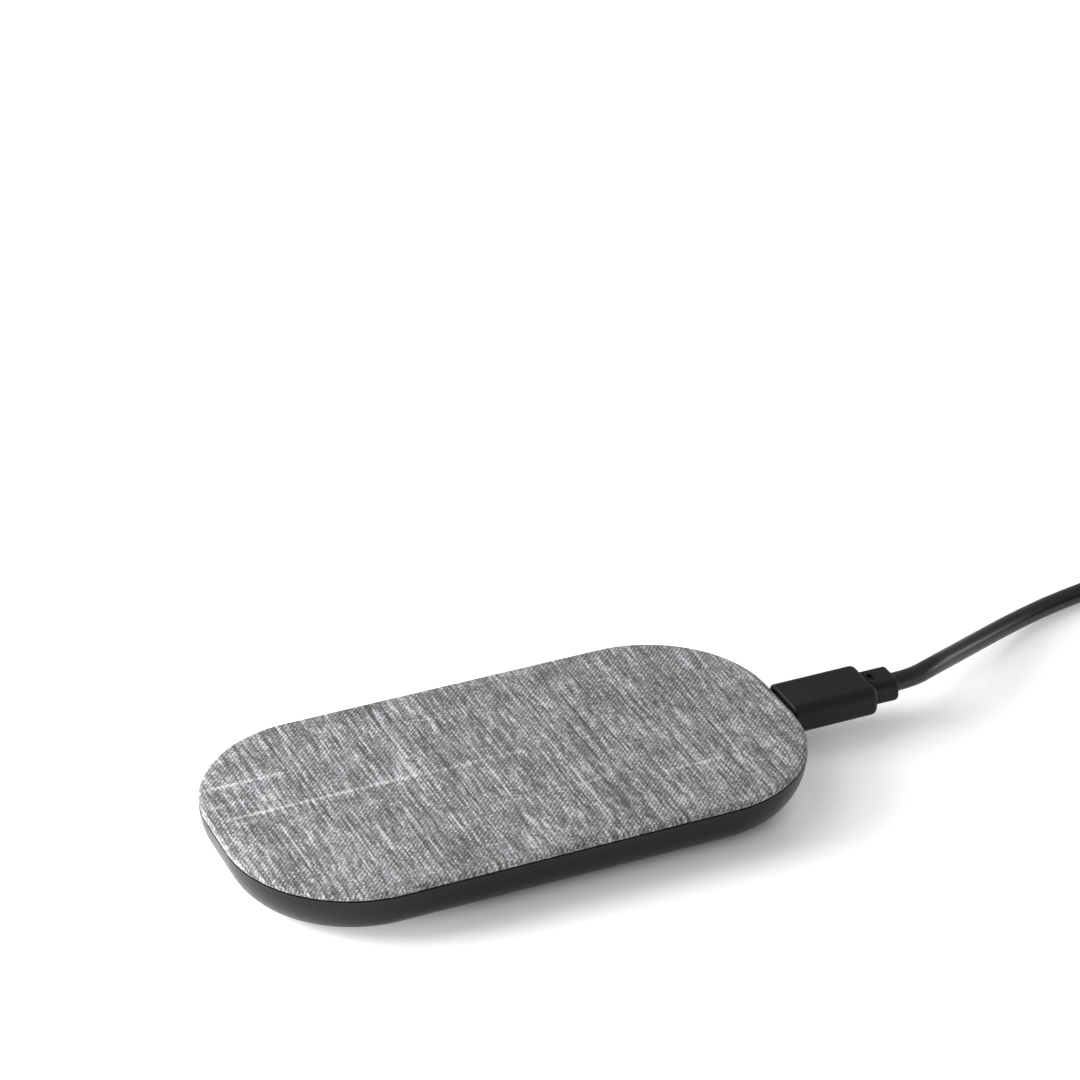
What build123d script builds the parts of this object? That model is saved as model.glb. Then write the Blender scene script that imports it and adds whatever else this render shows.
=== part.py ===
from build123d import *
import math
import os

# Fabric-topped wireless charging pad with its USB cable plugged in.
# Millimetres. Origin: on the table under the middle of the pad. +X runs along
# the pad towards the charging port and the cable, +Y across it, +Z up.

# ---- driving dimensions -------------------------------------------------
PAD_L = 102.0          # length of the pad
PAD_W = 54.0           # width of the pad
PAD_R = 22.0           # corner radius in plan
Z_FOOT = 0.5           # how far the feet stand proud of the shell
Z_RIM = 7.95           # top of the shell's rim
Z_SEAM = 8.2           # underside of the fabric edge, above the shadow gap
Z_TOP = 9.15           # charging surface
BOWL_A = 5.0           # how far the shell's side curves in by the bottom
WALL = 1.8             # shell wall at the rim
FLOOR_T = 1.5          # shell floor
FABRIC_T = 0.3         # cloth thickness
HEM = 2.5              # cloth turned under the plate's edge
PLATE_Z = 7.2          # underside of the top plate
FLANGE_Z = 8.5         # underside of the plate's thin edge flange

PORT_Z = 6.35          # port axis height
PORT_X = 50.6          # front face of the receptacle
PORT_W, PORT_H, PORT_LEN = 8.94, 3.16, 7.3
PCB_T = 1.0
PCB_TOP = PORT_Z - PORT_H / 2
PCB_X0, PCB_X1, PCB_HW = 25.0, 46.8, 10.6

COIL_OD, COIL_ID, COIL_T = 44.0, 20.5, 1.0
FERRITE = 47.0
FERRITE_T = 0.8

FOOT_X, FOOT_Y, FOOT_D = 36.0, 14.5, 9.0

PLUG_TIP_X = 45.25     # tip of the plug's metal shell when plugged in
OVERMOLD_X = 51.6      # front face of the plug's overmould
OVERMOLD_L, OVERMOLD_W, OVERMOLD_T = 16.1, 10.3, 5.5
COLLAR_L, COLLAR_W, COLLAR_T = 5.0, 6.3, 4.4
CORD_D = 3.4

WIND_X, WIND_Y = 146.0, -4.0   # middle of the put-away winding
WIND_RO, WIND_RI, WIND_H = 27.3, 10.0, 6.9

# Route of the cord's centreline from the collar to the winding.
LEAD = [(72.7, 0, 6.35), (76.8, 0, 6.35), (81.4, 1.4, 6.65), (87.2, 4.7, 5.5),
        (95.0, 9.2, 3.95), (104.8, 14.2, 2.55), (114.8, 17.9, 1.9),
        (123.8, 19.9, 1.7), (131.5, 21.1, 1.7)]
# Route of the cord from the winding to the far plug.
TAIL = [(168.8, -23.0, 3.9), (168.5, -29.4, 3.2), (165.4, -35.6, 2.6), (159.6, -39.7, 3.0),
        (152.6, -41.0, 4.0), (146.0, -41.0, 4.0)]
USB_A_Y, USB_A_Z = -41.0, 4.0
USB_A_X = 146.0        # where the cord enters the far plug, which points to -X

os.makedirs("parts", exist_ok=True)
made = {}


def put(name, shape):
    shape.label = name
    export_step(shape, f"parts/{name}.step")
    made[name] = shape


def slab(inset, z0, z1, length=PAD_L, width=PAD_W, radius=PAD_R):
    """The pad's outline, drawn in by inset, between two heights."""
    sk = Plane.XY.offset(z0) * RectangleRounded(length - 2 * inset, width - 2 * inset, radius - inset)
    return extrude(sk, amount=z1 - z0)


def box(x0, x1, y0, y1, z0, z1):
    return Pos((x0 + x1) / 2, (y0 + y1) / 2, (z0 + z1) / 2) * Box(x1 - x0, y1 - y0, z1 - z0)


def rod(x, y, z0, z1, d):
    return Pos(x, y, (z0 + z1) / 2) * Cylinder(d / 2, z1 - z0)


def rod_x(x0, x1, y, z, d):
    return Pos((x0 + x1) / 2, y, z) * Rot(0, 90, 0) * Cylinder(d / 2, x1 - x0)


def stadium_x(x0, x1, w, h, y=0.0, z=PORT_Z):
    """A bar along X with a slot-shaped section."""
    pl = Plane(origin=(x0, y, z), x_dir=(0, 1, 0), z_dir=(1, 0, 0))
    return extrude(pl * SlotOverall(w, h), amount=x1 - x0)


def rounded_x(x0, x1, w, h, r, y=0.0, z=PORT_Z):
    pl = Plane(origin=(x0, y, z), x_dir=(0, 1, 0), z_dir=(1, 0, 0))
    return extrude(pl * RectangleRounded(w, h, r), amount=x1 - x0)


def bowl(top, bottom, inset, a):
    """A dish whose side is a quarter ellipse: full size at the top, drawn in by a at the bottom."""
    hx, hy = PAD_L / 2 - PAD_R, PAD_W / 2 - PAD_R
    r = PAD_R - inset
    b = top - bottom

    def face(plane):
        arc = plane * EllipticalCenterArc((r - a, top), a, b, start_angle=270, arc_size=90)
        ring = [plane * Line((0, bottom), (r - a, bottom)), arc,
                plane * Line((r, top), (0, top)), plane * Line((0, top), (0, bottom))]
        return make_face(ring)

    out = box(-hx, hx, -hy, hy, bottom, top)
    # long sides and ends
    for s in (1, -1):
        f = face(Plane(origin=(-hx, s * hy, 0), x_dir=(0, s, 0), z_dir=(s, 0, 0)))
        out += extrude(f, amount=2 * hx, dir=(1, 0, 0))
        f = face(Plane(origin=(s * hx, -hy, 0), x_dir=(s, 0, 0), z_dir=(0, -s, 0)))
        out += extrude(f, amount=2 * hy, dir=(0, 1, 0))
    # corners
    for sx in (1, -1):
        for sy in (1, -1):
            f = face(Plane(origin=(sx * hx, sy * hy, 0), x_dir=(sx, 0, 0), z_dir=(0, -sx, 0)))
            ax = Axis((sx * hx, sy * hy, 0), (0, 0, 1))
            out += revolve(f, axis=ax, revolution_arc=90 * sx * sy)
    return out


def cord_tube(points, d, name):
    """Straight runs joined by tangent arcs, each as large as its two runs allow."""
    pts = [Vector(*p) for p in points]
    radii = []
    for i in range(1, len(pts) - 1):
        u, v = pts[i] - pts[i - 1], pts[i + 1] - pts[i]
        turn = math.radians(u.get_angle(v))
        radii.append(0.45 * min(u.length, v.length) / math.tan(turn / 2))
    path = FilletPolyline(*pts, radius=radii)
    start = Plane(origin=pts[0], z_dir=(pts[1] - pts[0]).normalized())
    tube = sweep(start * Circle(d / 2), path=path)
    print(name, "radii", [round(x, 1) for x in radii], "in diameters", [round(x / d, 1) for x in radii],
          "length", round(path.length, 1), "volume ratio",
          round(tube.volume / (math.pi * d * d / 4 * path.length), 4))
    return tube


# ---- top: cloth, plate --------------------------------------------------
cloth = slab(0, Z_SEAM, Z_TOP)
cloth = fillet(cloth.edges().group_by(Axis.Z)[-1], 0.75)
cloth = fillet(cloth.edges().group_by(Axis.Z)[0], 0.12)
flange = slab(FABRIC_T, FLANGE_Z, Z_TOP - FABRIC_T)
flange = fillet(flange.edges().group_by(Axis.Z)[-1], 0.3)
core = slab(FABRIC_T + HEM, PLATE_Z, FLANGE_Z)
under = slab(FABRIC_T + HEM, Z_SEAM - 0.5, FLANGE_Z)
put("fabric_cover", cloth - flange - under)

plate = flange + core
# pocket above the port, and a lightening recess at the empty end
plate -= box(42.4, 49.0, -5.3, 5.3, PLATE_Z - 1, 8.1)
plate -= box(-46.0, -27.0, -9.0, 9.0, PLATE_Z - 1, 7.7)
# ring that centres the coil, with a gap where the leads come out
ring = rod(0, 0, PLATE_Z - 1.0, PLATE_Z, COIL_OD + 2.6) - rod(0, 0, PLATE_Z - 2.0, PLATE_Z + 1.0, COIL_OD + 0.6)
ring -= box(10.0, 26.0, -6.0, 6.0, PLATE_Z - 3, PLATE_Z)
plate += ring
for sx in (1, -1):
    for sy in (1, -1):
        plate += rod(sx * FOOT_X, sy * FOOT_Y, 3.05, PLATE_Z, 5.0)
        plate -= rod(sx * FOOT_X, sy * FOOT_Y, 2.0, 6.9, 2.0)
put("top_plate", plate)

# ---- bottom shell -------------------------------------------------------
outer = bowl(Z_RIM, Z_FOOT, 0.0, BOWL_A)
inner = bowl(Z_RIM, Z_FOOT + FLOOR_T, WALL, BOWL_A - 0.6)
shell = outer - inner
floor_in = Z_FOOT + FLOOR_T
for sx in (1, -1):
    for sy in (1, -1):
        shell += rod(sx * FOOT_X, sy * FOOT_Y, floor_in - 0.3, 3.05, 6.6)
        shell -= rod(sx * FOOT_X, sy * FOOT_Y, 0.0, Z_FOOT + 0.5, FOOT_D + 0.2)
        shell -= rod(sx * FOOT_X, sy * FOOT_Y, 0.5, 2.3, 4.2)
        shell -= rod(sx * FOOT_X, sy * FOOT_Y, 0.5, 4.0, 2.3)
# posts that carry the circuit board
PCB_BOT = PCB_TOP - PCB_T
BOARD_SCREWS = [(28.0, 8.0), (28.0, -8.0), (40.0, 8.2)]
for bx, by in BOARD_SCREWS:
    shell += rod(bx, by, floor_in - 0.3, PCB_BOT, 4.4)
    shell -= rod(bx, by, 1.2, PCB_BOT + 1, 1.6)
# stiffening ribs across the empty end
for rx in (-30.0, -43.0):
    shell += box(rx - 0.6, rx + 0.6, -9.0, 9.0, floor_in - 0.3, 4.4)
shell += box(-43.0, -30.0, -0.6, 0.6, floor_in - 0.3, 4.4)
# port opening, a notch through the rim, and the light hole beside it
shell -= rounded_x(45.0, 52.0, 9.3, 3.36, 1.5)
shell -= box(45.0, 52.0, -4.65, 4.65, PORT_Z, Z_RIM + 1)
LED_Y, LED_Z = 8.0, 5.65
shell -= rod_x(44.0, 52.0, LED_Y, LED_Z, 1.7)
put("bottom_shell", shell)

feet = Compound(children=[
    fillet(rod(sx * FOOT_X, sy * FOOT_Y, 0.0, Z_FOOT + 0.5, FOOT_D).edges().group_by(Axis.Z)[0], 0.3)
    for sx in (1, -1) for sy in (1, -1)])
put("rubber_feet", feet)


def screw(x, y, z_head, head_h, head_d, z_end, d, up):
    """A pan-head screw; up is +1 when its tip points up."""
    if up > 0:
        body = rod(x, y, z_head, z_head + head_h, head_d) + rod(x, y, z_head + head_h - 0.05, z_end, d)
        slot = box(x - head_d * 0.35, x + head_d * 0.35, y - 0.22, y + 0.22, z_head - 0.1, z_head + 0.45)
        slot2 = box(x - 0.22, x + 0.22, y - head_d * 0.35, y + head_d * 0.35, z_head - 0.1, z_head + 0.45)
    else:
        body = rod(x, y, z_head - head_h, z_head, head_d) + rod(x, y, z_end, z_head - head_h + 0.05, d)
        slot = box(x - head_d * 0.35, x + head_d * 0.35, y - 0.18, y + 0.18, z_head - 0.4, z_head + 0.1)
        slot2 = box(x - 0.18, x + 0.18, y - head_d * 0.35, y + head_d * 0.35, z_head - 0.4, z_head + 0.1)
    return body - slot - slot2


put("case_screws", Compound(children=[
    screw(sx * FOOT_X, sy * FOOT_Y, 1.2, 1.1, 3.8, 6.6, 1.94, 1) for sx in (1, -1) for sy in (1, -1)]))

# ---- charging coil stack ------------------------------------------------
ADH_T = 0.15
coil_top = PLATE_Z - ADH_T
coil_bot = coil_top - COIL_T
fer_top = coil_bot
fer_bot = fer_top - FERRITE_T
put("coil_adhesive", rod(0, 0, coil_top, PLATE_Z, COIL_OD) - rod(0, 0, coil_top - 1, PLATE_Z + 1, COIL_ID))
# ten turns of stranded wire, as one ring with a ridge for each turn
n_turn = 10
w_turn = (COIL_OD - COIL_ID) / 2 / n_turn
prof = [(COIL_ID / 2, coil_bot)]
for i in range(n_turn):
    r0 = COIL_ID / 2 + i * w_turn
    prof += [(r0, coil_top - 0.25), (r0 + 0.22 * w_turn, coil_top), (r0 + 0.78 * w_turn, coil_top)]
prof += [(COIL_OD / 2, coil_top - 0.25), (COIL_OD / 2, coil_bot)]
face = make_face(Plane.XZ * Polyline(*prof, close=True))
put("transmitter_coil", revolve(face, axis=Axis.Z))
fer = Plane.XY.offset(fer_bot) * RectangleRounded(FERRITE, FERRITE, 3.0)
put("ferrite_shield", extrude(fer, amount=FERRITE_T))
put("support_foam", rod(0, 0, floor_in, fer_bot, 24.0))
therm = Pos(0, 0, (coil_bot + coil_top) / 2) * Sphere(0.45) + rod_x(0.2, 7.0, 0, (coil_bot + coil_top) / 2, 0.4)
put("thermistor", therm)

# ---- electronics --------------------------------------------------------
pcb = extrude(Plane.XY.offset(PCB_BOT) * Pos((PCB_X0 + PCB_X1) / 2, 0) * RectangleRounded(PCB_X1 - PCB_X0, 2 * PCB_HW, 1.5),
              amount=PCB_T)
for bx, by in BOARD_SCREWS:
    pcb -= rod(bx, by, PCB_BOT - 1, PCB_TOP + 1, 2.2)
put("circuit_board", pcb)
put("board_screws", Compound(children=[
    screw(bx, by, PCB_TOP + 0.9, 0.9, 3.4, 1.5, 1.55, -1) for bx, by in BOARD_SCREWS]))

rx0, rx1 = PORT_X - PORT_LEN, PORT_X
r_shell = rounded_x(rx0, rx1, PORT_W, PORT_H, 1.4) - rounded_x(rx0 + 0.9, rx1 + 1, 8.36, 2.56, 1.2)
put("usb_port_shell", r_shell)
tongue = box(rx0 + 0.9, rx1 - 1.6, -3.3, 3.3, PORT_Z - 0.33, PORT_Z + 0.33)
tongue += rounded_x(rx0 + 0.9, rx0 + 1.5, 8.3, 2.5, 1.17)
put("usb_port_tongue", tongue)
put("usb_port_contacts", Compound(children=[
    box(rx0 + 1.5, rx1 - 2.2, -2.75 + 0.5 * i - 0.12, -2.75 + 0.5 * i + 0.12, PORT_Z + s * 0.33 - (0 if s > 0 else 0.05), PORT_Z + s * 0.33 + (0.05 if s > 0 else 0))
    for i in range(12) for s in (1, -1)]))


def chip(x, y, lx, ly, h, z=PCB_TOP):
    c = box(x - lx / 2, x + lx / 2, y - ly / 2, y + ly / 2, z, z + h)
    return c


ic = chip(34.5, -4.0, 5.0, 5.0, 0.85) - rod(32.6, -2.1, PCB_TOP + 0.75, PCB_TOP + 1, 0.5)
put("controller_chip", ic)
put("bridge_transistors", Compound(children=[chip(34.0, 2.2, 3.3, 3.3, 1.0), chip(38.4, 2.2, 3.3, 3.3, 1.0)]))
put("resonance_capacitors", Compound(children=[chip(28.0, y, 2.5, 3.2, 2.0) for y in (-2.4, 1.2, 4.6 + 0.2)][:2]
    + [chip(31.0, 7.8, 2.5, 3.2, 2.0), chip(34.2, 7.8, 2.5, 3.2, 2.0)]))
ind = fillet(chip(39.8, -6.6, 4.0, 4.0, 2.0).edges().filter_by(Axis.Z), 0.6)
put("filter_inductor", ind)
small = []
for i, (x, y) in enumerate([(30.4, -7.6), (32.0, -7.6), (33.6, -7.6), (35.2, -7.6), (30.6, -5.2), (30.6, -3.6),
                            (38.4, -2.6), (38.4, -1.2), (31.0, 1.0), (31.0, 2.6), (31.0, 4.2), (37.2, 6.6),
                            (41.6, -2.6), (41.6, -1.2), (41.6, 0.2), (41.6, 1.6), (44.6, 7.0), (44.6, -7.0)]):
    small.append(chip(x, y, 1.0, 0.5, 0.5))
put("chip_passives", Compound(children=small))
put("status_led", chip(43.0, LED_Y, 1.6, 1.2, 1.3))
guide = rod_x(43.8, 50.35, LED_Y, LED_Z, 1.6)
guide -= box(43.0, 43.9, 6.0, 10.0, 3.0, 7.0)
put("led_light_guide", guide)
# two stranded wires from the coil to the board
lead_z = coil_bot + 0.45
w = []
for ly in (3.9, 5.3):
    lx = math.sqrt((COIL_OD / 2) ** 2 - ly ** 2) + 0.08
    p0, p1 = Vector(lx, ly, lead_z), Vector(25.2, ly, lead_z)
    p2, p3 = Vector(26.6, ly, PCB_TOP + 0.42), Vector(28.4, ly, PCB_TOP + 0.42)
    path = FilletPolyline(p0, p1, p2, p3, radius=[0.8, 0.7])
    w.append(sweep(Plane(origin=p0, z_dir=(p1 - p0).normalized()) * Circle(0.4), path=path))
put("coil_leads", Compound(children=w))

# ---- plug that goes into the pad ---------------------------------------
pz = PORT_Z
ps = stadium_x(PLUG_TIP_X, OVERMOLD_X + 2.5, 8.25, 2.4) - stadium_x(PLUG_TIP_X - 1, OVERMOLD_X + 3.0, 7.75, 1.9)
put("plug_shell", ps)
# plastic carrier inside the plug's shell, hollow in front where the port's tongue goes
ins = stadium_x(PLUG_TIP_X + 0.3, OVERMOLD_X + 2.4, 7.71, 1.86) - box(PLUG_TIP_X - 1, PLUG_TIP_X + 5.3, -3.42, 3.42, pz - 0.46, pz + 0.46)
put("plug_insert", ins)
put("plug_contacts", Compound(children=[
    box(PLUG_TIP_X + 1.2, PLUG_TIP_X + 5.3, -2.75 + 0.5 * i - 0.12, -2.75 + 0.5 * i + 0.12,
        pz + (0.405 if s > 0 else -0.46), pz + (0.46 if s > 0 else -0.405)) for i in range(12) for s in (1, -1)]))
om = rounded_x(OVERMOLD_X, OVERMOLD_X + OVERMOLD_L, OVERMOLD_W, OVERMOLD_T, 1.75)
om = fillet(om.edges().group_by(Axis.X)[-1], 1.2)
om = fillet(om.edges().group_by(Axis.X)[0], 0.35)
# recess in the front face round the metal shell
om -= rounded_x(OVERMOLD_X - 1, OVERMOLD_X + 0.5, OVERMOLD_W - 1.6, OVERMOLD_T - 1.6, 1.1)
om -= stadium_x(OVERMOLD_X - 1, OVERMOLD_X + 2.5, 8.25, 2.4)
put("plug_overmold", om)
cx0 = OVERMOLD_X + OVERMOLD_L
col = rounded_x(cx0, cx0 + COLLAR_L, COLLAR_W, COLLAR_T, 1.4)
col = fillet(col.edges().group_by(Axis.X)[-1], 0.6)
# a small gate pocket above and below, next to the overmould
for s in (1, -1):
    z_out = pz + s * COLLAR_T / 2
    pocket = Pos(cx0 + 0.85, 0.0, z_out) * Box(1.1, 2.0, 1.0)
    col -= fillet(pocket.edges().filter_by(Axis.Z), 0.4)
put("plug_collar", col)

# ---- cord ---------------------------------------------------------------
put("cable_lead", cord_tube(LEAD, CORD_D, "cable_lead"))
put("cable_tail", cord_tube(TAIL, CORD_D, "cable_tail"))
wind = rod(WIND_X, WIND_Y, 0.0, WIND_H, 2 * WIND_RO) - rod(WIND_X, WIND_Y, -1.0, WIND_H + 1, 2 * WIND_RI)
wind = fillet(wind.edges(), 1.2)


def stub(p_from, p_to, d):
    """A straight bit of cord that ends square at p_to."""
    a, b = Vector(*p_from), Vector(*p_to)
    return extrude(Plane(origin=b, z_dir=(a - b).normalized()) * Circle(d / 2), amount=(a - b).length)


d_in = Vector(*LEAD[-1]) - Vector(*LEAD[-2])
d_in = d_in.normalized()
end = Vector(*LEAD[-1])
wind += stub(tuple(end + d_in * 6.0), tuple(end), CORD_D)
d_out = (Vector(*TAIL[0]) - Vector(*TAIL[1])).normalized()
t0 = Vector(*TAIL[0])
wind += stub(tuple(t0 + d_out * 5.0), tuple(t0), CORD_D)
# strap round the winding, on the side towards the pad; the winding gives way to it
TIE_W, TIE_T = 6.0, 0.7
tx0, tx1 = WIND_X - WIND_RO - TIE_T + 0.2, WIND_X - WIND_RI + TIE_T - 0.2
tie_out = box(tx0, tx1, WIND_Y - TIE_W / 2, WIND_Y + TIE_W / 2, 0.0, WIND_H + TIE_T)
tie_out = fillet(tie_out.edges().filter_by(Axis.Y), 1.6)
tie_in = box(tx0 + TIE_T, tx1 - TIE_T, WIND_Y - TIE_W, WIND_Y + TIE_W, TIE_T, WIND_H)
tie_in = fillet(tie_in.edges().filter_by(Axis.Y), 1.0)
tie = tie_out - tie_in
tab = box(tx0 + 5.0, tx0 + 15.0, WIND_Y - TIE_W / 2, WIND_Y + TIE_W / 2, WIND_H + TIE_T, WIND_H + 2 * TIE_T)
tie += fillet(tab.edges().filter_by(Axis.Z), 1.2)
wind -= box(tx0 - 1, tx1 + 1, WIND_Y - TIE_W / 2 - 0.2, WIND_Y + TIE_W / 2 + 0.2, -1.0, WIND_H + 3) - tie_in
put("cable_coil", wind)
put("cable_tie", tie)

# ---- far plug: USB-A, lying flat, pointing to -X -------------------------
ay, az, ax = USB_A_Y, USB_A_Z, USB_A_X


def ua(x0, x1, w, h, r):
    return rounded_x(x0, x1, w, h, r, ay, az)


acol = ua(ax - 5.6, ax, 6.6, 5.2, 1.4)
acol = fillet(acol.edges().group_by(Axis.X)[-1], 0.5)
for gx in (1.4, 3.2):
    acol -= ua(ax - gx - 0.6, ax - gx, 8, 8, 0.5) - ua(ax - gx - 0.7, ax - gx + 0.1, 5.4, 4.2, 1.0)
put("usb_a_collar", acol)
ox1 = ax - 5.6
ox0 = ox1 - 20.0
aom = ua(ox0, ox1, 15.6, 7.9, 2.4)
aom = chamfer(aom.edges().group_by(Axis.X)[-1], 1.2)
aom = fillet(aom.edges().group_by(Axis.X)[0], 0.4)
aom -= ua(ox0 - 1, ox0 + 3.5, 12.0, 4.5, 0.3)
put("usb_a_overmold", aom)
ash = ua(ox0 - 12.0, ox0 + 3.5, 12.0, 4.5, 0.3) - ua(ox0 - 13.0, ox0 + 4, 11.4, 3.9, 0.2)
for s in (1, -1):
    ash -= box(ox0 - 7.3, ox0 - 4.8, ay + s * 2.6 - 1.0, ay + s * 2.6 + 1.0, az - 3, az + 3)
put("usb_a_shell", ash)
atg = box(ox0 - 11.2, ox0 + 3.4, ay - 5.6, ay + 5.6, az - 1.93, az - 0.1)
put("usb_a_tongue", atg)
put("usb_a_contacts", Compound(children=[
    box(ox0 - 10.4 + (0 if abs(k) == 3.5 else 0.9), ox0 - 1.0, ay + k - 0.5, ay + k + 0.5, az - 0.1, az + 0.1) for k in (-3.5, -1.0, 1.0, 3.5)]))

print(len(made), "nodes")
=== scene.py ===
import math

import bmesh
import bpy
import numpy as np
from mathutils import Matrix, Vector


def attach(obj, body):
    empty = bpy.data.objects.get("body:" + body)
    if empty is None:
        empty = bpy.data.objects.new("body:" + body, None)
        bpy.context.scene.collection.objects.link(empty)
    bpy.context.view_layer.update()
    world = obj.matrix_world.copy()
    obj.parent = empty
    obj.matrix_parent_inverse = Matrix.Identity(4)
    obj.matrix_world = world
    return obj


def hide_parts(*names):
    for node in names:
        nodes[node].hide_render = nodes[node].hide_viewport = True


# Wireless charging pad: heathered cloth top, dark bowl-shaped shell, USB cable in its end.
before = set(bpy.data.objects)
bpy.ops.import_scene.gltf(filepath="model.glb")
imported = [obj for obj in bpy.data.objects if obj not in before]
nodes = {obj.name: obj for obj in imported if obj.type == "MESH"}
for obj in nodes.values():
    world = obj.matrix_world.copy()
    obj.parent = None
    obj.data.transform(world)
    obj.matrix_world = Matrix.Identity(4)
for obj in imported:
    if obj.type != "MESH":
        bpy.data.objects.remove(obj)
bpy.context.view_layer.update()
scene = bpy.context.scene
MM = 0.001

# ---------------------------------------------------------------- camera
cam_data = bpy.data.cameras.new("view")
cam = bpy.data.objects.new("view", cam_data)
scene.collection.objects.link(cam)
right = Vector((0.9131240287864337, -0.40768187113585524, 0.0))
up = Vector((0.20286445360723912, 0.45437489447175233, 0.8674038671440313))
back = Vector((-0.3536248315877555, -0.7920473137514904, 0.49760479425300935))
place = Vector((-211.99628009425487, -488.6531151020189, 357.3496598505317)) * MM
cam.matrix_world = Matrix((
    (right.x, up.x, back.x, place.x),
    (right.y, up.y, back.y, place.y),
    (right.z, up.z, back.z, place.z),
    (0, 0, 0, 1)))
cam_data.sensor_width = 36.0
cam_data.lens = 127.623
cam_data.clip_start = 0.01
cam_data.clip_end = 20.0
scene.camera = cam

# ---------------------------------------------------------------- cord
CORD_D = 3.4
LEAD = [(72.7, 0, 6.35), (76.8, 0, 6.35), (81.4, 1.4, 6.65), (87.2, 4.7, 5.5),
        (95.0, 9.2, 3.95), (104.8, 14.2, 2.55), (114.8, 17.9, 1.9),
        (123.8, 19.9, 1.7), (131.5, 21.1, 1.7)]
TAIL = [(168.8, -23.0, 3.9), (168.5, -29.4, 3.2), (165.4, -35.6, 2.6), (159.6, -39.7, 3.0),
        (152.6, -41.0, 4.0), (146.0, -41.0, 4.0)]
WIND_X, WIND_Y = 146.0, -4.0
PER_TURN = 14
TIE_LIFT = 1.0


def on_winding(t, r, z):
    """A point of the winding, t turns clockwise from +Y, at radius r."""
    a = math.radians(90 - 360 * t)
    x, y = WIND_X + r * math.cos(a), WIND_Y + r * math.sin(a)
    # the turns pass over the strap's lower strand on the side towards the pad
    off = abs((a % (2 * math.pi)) - math.pi) * r
    if off < 14.0:
        z += TIE_LIFT * (0.5 + 0.5 * math.cos(math.pi * max(0.0, off - 5.0) / 9.0))
    return (x, y, z)


winding = []
# each turn of the lower layer is laid inside the one before it
for k in range(0, 4 * PER_TURN + 1):
    t = k / PER_TURN
    wob = 0.10 * math.sin(2.7 * t + 0.6) + 0.06 * math.sin(7.1 * t)
    winding.append(on_winding(t, 26.0 - 3.55 * t + wob, 1.7))
for t, r, z in ((4.08, 11.6, 2.2), (4.16, 11.5, 3.0), (4.24, 11.7, 3.9), (4.32, 12.0, 4.7), (4.41, 12.5, 5.15)):
    winding.append(on_winding(t, r, z))
# and the upper layer comes out again on top of them
k = 0
while 4.5 + k / PER_TURN < 7.2:
    t = 4.5 + k / PER_TURN
    wob = 0.12 * math.sin(3.9 * t + 1.0)
    winding.append(on_winding(t, 13.0 + 3.55 * (t - 4.5) + wob, 5.2))
    k += 1
winding += [(168.8, -3.4, 5.2), (169.1, -13.5, 5.3)]
route = LEAD + winding + TAIL

curve = bpy.data.curves.new("usb_cord", "CURVE")
curve.dimensions = "3D"
spline = curve.splines.new("NURBS")
spline.points.add(len(route) - 1)
for p, (x, y, z) in zip(spline.points, route):
    p.co = (x * MM, y * MM, z * MM, 1.0)
spline.order_u = 3
spline.use_endpoint_u = True
spline.resolution_u = 10
curve.resolution_u = 10
curve.use_fill_caps = True
cord = bpy.data.objects.new("usb_cord", curve)
scene.collection.objects.link(cord)
bpy.context.view_layer.update()
# the cord's own line, read back from its spline, for the pieces that follow it
line = bpy.data.meshes.new_from_object(cord)
cord_line = np.array([v.co for v in line.vertices], float) / MM
bpy.data.meshes.remove(line)
curve.bevel_depth = CORD_D / 2 * MM
curve.bevel_resolution = 6

# ---------------------------------------------------------------- materials


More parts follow.
